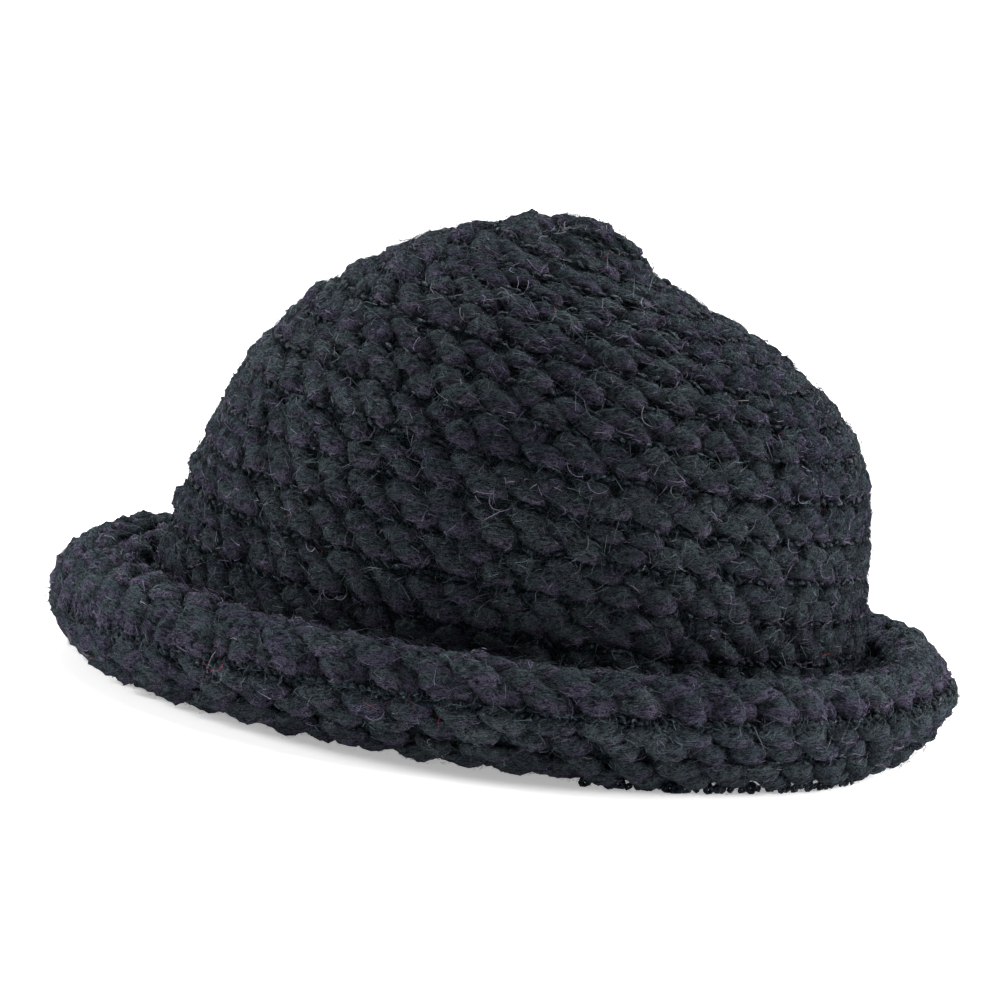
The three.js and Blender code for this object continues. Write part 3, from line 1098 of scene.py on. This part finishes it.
def fibres_on(draws, name, count, length, width):
    """Paths, widths and values of loose fibres that bridge the yarn of a piece and bend over it"""
    mesh = bpy.data.objects[name].data
    roots = mesh_values(mesh, mesh.vertices, "co") / MM
    normals = mesh_values(mesh, mesh.vertices, "normal")
    out = mesh_values(mesh, mesh.attributes["fabric_out"].data, "vector")
    along = mesh_values(mesh, mesh.attributes["fabric_along"].data, "vector")
    yarn = mesh_values(mesh, mesh.attributes["yarn"].data, "vector")
    tone = np.empty(len(mesh.vertices), dtype=np.float32)
    mesh.attributes["tone"].data.foreach_get("value", tone)
    outside = np.flatnonzero(np.einsum("ij,ij->i", normals, out) > FACING_OUT)
    chosen = draws.choice(outside, count)
    root, along = roots[chosen], along[chosen]
    normal = unit(normals[chosen] + out[chosen] * draws.uniform(0.1, 1.1, (count, 1)))
    heading = draws.normal(0, 1, (count, 3)) + along * draws.choice((-1.0, 1.0), (count, 1))
    heading = unit(heading - normal * np.einsum("ij,ij->i", heading, normal)[:, None])
    sideways = np.cross(normal, heading)
    reach = length * np.clip(draws.lognormal(0, LENGTH_SPREAD, count), SHORTEST, LONGEST)[:, None]
    curl = draws.normal(0, FIBRE_CURL, (count, 1))
    reach *= np.clip(root[:, 2:3] / SHORT_UNDER, LEAST_SHARE, 1)
    rise = draws.uniform(*FIBRE_ARCH, (count, 1))
    end = draws.normal(*FIBRE_END, (count, 1)) + FREE_END * (draws.random((count, 1)) < FREE_SHARE)
    root = root + draws.normal(0, ROOT_SPREAD, (count, 3)) - normal * ROOT_DEPTH
    stations = []
    for share in np.linspace(0, 1, FIBRE_STATIONS):
        lift = 4 * rise * share * (1 - share) + end * share**2
        stations.append(root + reach * (
            heading * np.sin(curl * share) / curl
            + sideways * (1 - np.cos(curl * share)) / curl + normal * lift))
    values = {"yarn": yarn[chosen], "tone": tone[chosen], "shine": draws.random(count)}
    return np.stack(stations, axis=1), width * draws.uniform(0.6, 1.2, count), values


# Hairs that stand alone: band, degrees round the hat, how many, spread and length in mm, least shine
CROWN_STRAYS = (
    (1.4, 258, 8, 2.2, 3.8, 0.9997),
    (0.9, 285, 14, 5.0, 3.0, 0.97),
    (11.4, 276, 1, 0.0, 13.0, 0.998),
    (4.0, 270, 8, 40.0, 7.0, 0.97),
    (7.0, 250, 12, 60.0, 7.0, 0.97),
    (10.0, 290, 12, 60.0, 7.0, 0.97),
    (13.0, 260, 10, 70.0, 7.0, 0.97),
)
BRIM_STRAYS = (
    (3.1, 238, 3, 2.0, 8.0, 0.998),
    (2.8, 262, 7, 2.0, 4.0, 0.998),
    (2.5, 250, 24, 50.0, 7.0, 0.97),
    (2.5, 300, 24, 50.0, 7.0, 0.97),
)
STRAY_STATIONS = 8
STRAY_LAST_BAND = {crown_point: CROWN_BANDS - 1, brim_point: 4.8}


def stray_hairs(draws, point_at, downwards, strays, width):
    """Paths, widths and values of long curled hairs that lie free on the wool"""
    paths, shines = [], []
    for band, degrees, count, spread, length, shine in strays:
        bands = band + uneven(draws, count, min(spread, 6.0)) / 12
        bands = np.clip(bands, LAST_BAND, STRAY_LAST_BAND[point_at])
        angles = math.radians(degrees) + uneven(draws, count, spread) / max(100 * min(band / 8, 1), 14)
        place, along, down, out = fabric_frame(point_at, bands, angles, downwards)
        turn = draws.uniform(0, math.pi, (count, 1))
        heading = along * np.cos(turn) + down * np.sin(turn)
        sideways = np.cross(out, heading)
        curl = draws.uniform(1.0, 3.2, (count, 1)) * draws.choice((-1, 1), (count, 1))
        reach = length * draws.uniform(0.6, 1.2, (count, 1))
        lift = draws.uniform(0.6, 1.6, (count, 1))
        paths.append(np.stack([
            place + out * (lift + 0.5 * np.sin(5 * share + turn)) + reach * (
                heading * np.sin(curl * share) + sideways * (1 - np.cos(curl * share))) / curl
            for share in np.linspace(0, 1, STRAY_STATIONS)], axis=1))
        shines.append(draws.uniform(shine, 1, count))
    paths = np.concatenate(paths)
    values = {"yarn": paths[:, 0], "tone": draws.random(len(paths)), "shine": np.concatenate(shines)}
    return paths, np.full(len(paths), width), values


class HAT_OT_loose_fibres(HatOperator, bpy.types.Operator):
    """Grows the short loose fibres that make the wool fuzzy"""

    bl_idname = "hat.loose_fibres"
    bl_label = "Loose fibres"

    def execute(self, context):
        sizes = hat_sizes()
        length, width = sizes.fibre_length / MM, sizes.fibre_width / MM
        for name, yarn, count, part in (
                ("crown_upper_fibres", "crown_upper_stitches", sizes.crown_fibres, CROWN),
                ("crown_lower_fibres", "crown_lower_stitches", sizes.crown_fibres, CROWN),
                ("brim_fibres", "brim_stitches", sizes.brim_fibres, BRIM),
                ("chain_fibres", "brim_thread", sizes.chain_fibres, BRIM)):
            draws = self.draws(name)
            self.grow(name, draws, fibres_on(draws, yarn, count, length, width), part)
        for name, point_at, downwards, strays, part in (
                ("crown_strays", crown_point, 1, CROWN_STRAYS, CROWN),
                ("brim_strays", brim_point, -1, BRIM_STRAYS, BRIM)):
            draws = self.draws(name)
            self.grow(name, draws, stray_hairs(draws, point_at, downwards, strays, width), part)
        return {"FINISHED"}

    @staticmethod
    def grow(name, draws, hairs, part):
        """Makes one piece of hairs, given as paths, widths and values, that stay over the floor"""
        paths, widths, values = hairs
        paths[..., 2] = np.maximum(paths[..., 2], LOWEST_FIBRE)
        roll = draws.uniform(0, math.pi, len(paths))
        fibres = strand_mesh(name, paths, widths, roll, values)
        finish_piece(fibres, name, part, material("loose_fibre", fibre_finish))


# Soft lights, in metres and watts
LIGHTS = {  # name: place, aim, width, power
    "top_softbox": ((-0.1, 0.70, 1.5), (0, 0, 0.05), 1.0, 69.0),
    "left_softbox": ((-1.7, 0.2, 0.6), (0, 0, 0.06), 0.9, 46.0),
    "right_softbox": ((1.7, 0.2, 0.6), (0, 0, 0.06), 0.9, 62.0),
    "low_front_softbox": ((0, -1.7, 0.16), (0, 0, 0.02), 0.9, 3.5),
    "backdrop_softbox": ((0, 2.4, 2.6), (0, 5.2, 1.0), 2.0, 150.0),
}
# The paper floor glows though it is no lamp: painted light, which also lights the hat from below
ROOM_LIGHT, PAPER_GLOW = 0.22, 0.38
PICTURE = 1000  # pixels each way
PIXEL = 0.2683 * MM  # width of a pixel at the hat's middle
MIDDLE_AT = (522.5, 487.0)  # pixel at which the hat's middle stands, from the upper left
MIDDLE_HEIGHT = 60 * MM
SENSOR = 36.0  # mm


class HAT_OT_stage(HatOperator, bpy.types.Operator):
    """Sets the pale floor, the soft lights and the camera"""

    bl_idname = "hat.stage"
    bl_label = "Floor, lights and camera"

    def execute(self, context):
        sizes, colours = hat_sizes(), hat_colours()
        start_fresh()
        bpy.ops.mesh.primitive_plane_add(size=9, location=(0, 1.0, 0))
        floor = bpy.context.object
        bpy.ops.object.transform_apply(location=True)
        bpy.ops.object.mode_set(mode="EDIT")
        pick(floor, lambda p: p.y > 5)
        bpy.ops.mesh.extrude_region_move(TRANSFORM_OT_translate={"value": (0, 0.6, 5.0)})
        bpy.ops.object.mode_set(mode="OBJECT")
        soft = floor.modifiers.new("sweep", "BEVEL")
        soft.width = 1.5
        soft.segments = 12
        bpy.ops.object.modifier_apply(modifier=soft.name)
        bpy.ops.object.shade_smooth()
        floor.name = "paper_floor"
        paper = Dye("paper")
        grain = paper.noise(paper.node("ShaderNodeTexCoord", output=3), 40.0)
        tint = paper.mix(grain * 0.02, tuple(colours.floor), (0.8, 0.8, 0.8))
        # Painted light: the paper glows evenly with the strength of PAPER_GLOW
        paper.node_output(paper.node("ShaderNodeBsdfPrincipled", {}, {
            "Base Color": tint, "Roughness": 0.9, "Specular IOR Level": 0.1,
            "Emission Color": (1.0, 1.0, 1.0), "Emission Strength": PAPER_GLOW}))
        floor.data.materials.append(paper.material)
        self.light_room()
        self.place_camera(sizes)
        return {"FINISHED"}

    def light_room(self):
        """Fills the room with pale light and sets its soft lights"""
        world = bpy.context.scene.world or bpy.data.worlds.new("room")
        bpy.context.scene.world = world
        world.use_nodes = True
        sky = world.node_tree.nodes["Background"]
        sky.inputs["Color"].default_value = (1.0, 1.0, 1.0, 1)
        sky.inputs["Strength"].default_value = ROOM_LIGHT
        for name, (place, aim, size, power) in LIGHTS.items():
            start_fresh()
            bpy.ops.object.light_add(type="AREA", location=place)
            light = bpy.context.object
            light.name = name
            light.data.shape = "DISK"
            light.data.size = size
            light.data.energy = power
            light.rotation_euler = (Vector(aim) - Vector(place)).to_track_quat("-Z", "Y").to_euler()

    def place_camera(self, sizes):
        """Aims at the hat's middle, rolled by the angle at which the hat leans in the picture"""
        distance, rise, roll = sizes.camera_distance, sizes.camera_rise, sizes.camera_roll
        back = Vector((0, -math.cos(rise), math.sin(rise)))
        flat_right = Vector((1, 0, 0))
        flat_up = back.cross(flat_right)
        right = flat_right * math.cos(roll) + flat_up * math.sin(roll)
        up = flat_up * math.cos(roll) - flat_right * math.sin(roll)
        start_fresh()
        bpy.ops.object.camera_add()
        camera = bpy.context.object
        camera.name = "camera"
        from_left, from_top = ((pixel - PICTURE / 2) * PIXEL for pixel in MIDDLE_AT)
        aim = Vector((0, 0, MIDDLE_HEIGHT)) - right * from_left + up * from_top
        camera.location = aim + back * distance
        camera.rotation_euler = Matrix((right, up, back)).transposed().to_euler()
        camera.data.sensor_width = SENSOR
        camera.data.lens = SENSOR * distance / (PICTURE * PIXEL)
        camera.data.clip_end = 50
        camera.data.dof.use_dof = False
        bpy.context.scene.camera = camera
        bpy.context.scene.view_settings.view_transform = "Standard"


class HAT_PT_panel(bpy.types.Panel):
    """Lists the hat's pieces and sizes in the sidebar"""

    bl_label = "Crocheted hat"
    bl_idname = "HAT_PT_panel"
    bl_space_type = "VIEW_3D"
    bl_region_type = "UI"
    bl_category = "Hat"

    def draw(self, context):
        for operator in OPERATORS:
            self.layout.operator(operator.bl_idname)
        for group in (context.scene.hat_sizes, context.scene.hat_colours):
            column = self.layout.column()
            for name in group.__annotations__:
                column.prop(group, name)


OPERATORS = (
    HAT_OT_stage, HAT_OT_crown_core, HAT_OT_brim_core, HAT_OT_crown_stitches, HAT_OT_brim_stitches,
    HAT_OT_inside_stitches, HAT_OT_groove_thread, HAT_OT_loose_fibres)
CLASSES = (HatSizes, HatColours, *OPERATORS, HAT_PT_panel)


def register():
    for kind in CLASSES:
        bpy.utils.register_class(kind)
    bpy.types.Scene.hat_sizes = bpy.props.PointerProperty(type=HatSizes)
    bpy.types.Scene.hat_colours = bpy.props.PointerProperty(type=HatColours)


def unregister():
    del bpy.types.Scene.hat_colours
    del bpy.types.Scene.hat_sizes
    for kind in reversed(CLASSES):
        bpy.utils.unregister_class(kind)


def main():
    register()
    bpy.ops.hat.stage()
    bpy.ops.hat.crown_core()
    bpy.ops.hat.brim_core()
    bpy.ops.hat.crown_stitches()
    bpy.ops.hat.brim_stitches()
    bpy.ops.hat.inside_stitches()
    bpy.ops.hat.groove_thread()
    bpy.ops.hat.loose_fibres()
    start_fresh()


if __name__ == "__main__":
    main()
